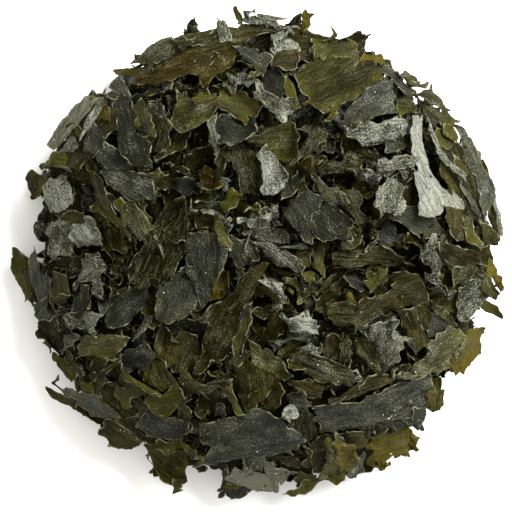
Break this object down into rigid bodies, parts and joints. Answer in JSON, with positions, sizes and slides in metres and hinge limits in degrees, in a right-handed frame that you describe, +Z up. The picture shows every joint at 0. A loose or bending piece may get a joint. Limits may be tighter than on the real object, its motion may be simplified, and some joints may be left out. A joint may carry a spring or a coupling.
{
  "type": "heap of dried salted kombu",
  "caption": "Round heap of dried, salted kombu flakes: torn, curled chips and straps of kelp piled into a low mound with a flat underside.",
  "frame": {"origin": "centre of the bounding box's underside, on the surface that the heap lies on", "axes": "+Z up; +Y is the top edge of the heap as seen from above, +X its right edge"},
  "size_m": [0.1, 0.0952, 0.0286],
  "materials": {
    "dried_kelp": "dark olive-brown dried kelp, leathery, half matt",
    "olive_kelp": "smooth olive-brown flakes with thin pale rims",
    "slate_kelp": "grey slate flakes with a fine white bloom",
    "salted_kelp": "pale grey-green flakes crusted with salt",
    "amber_kelp": "thin amber and yellow-green fronds, slightly translucent",
    "sea_salt": "fine off-white salt grains"
  },
  "bodies": {
    "root": {"kombu_heap": "dried_kelp"}
  },
  "joints": []
}
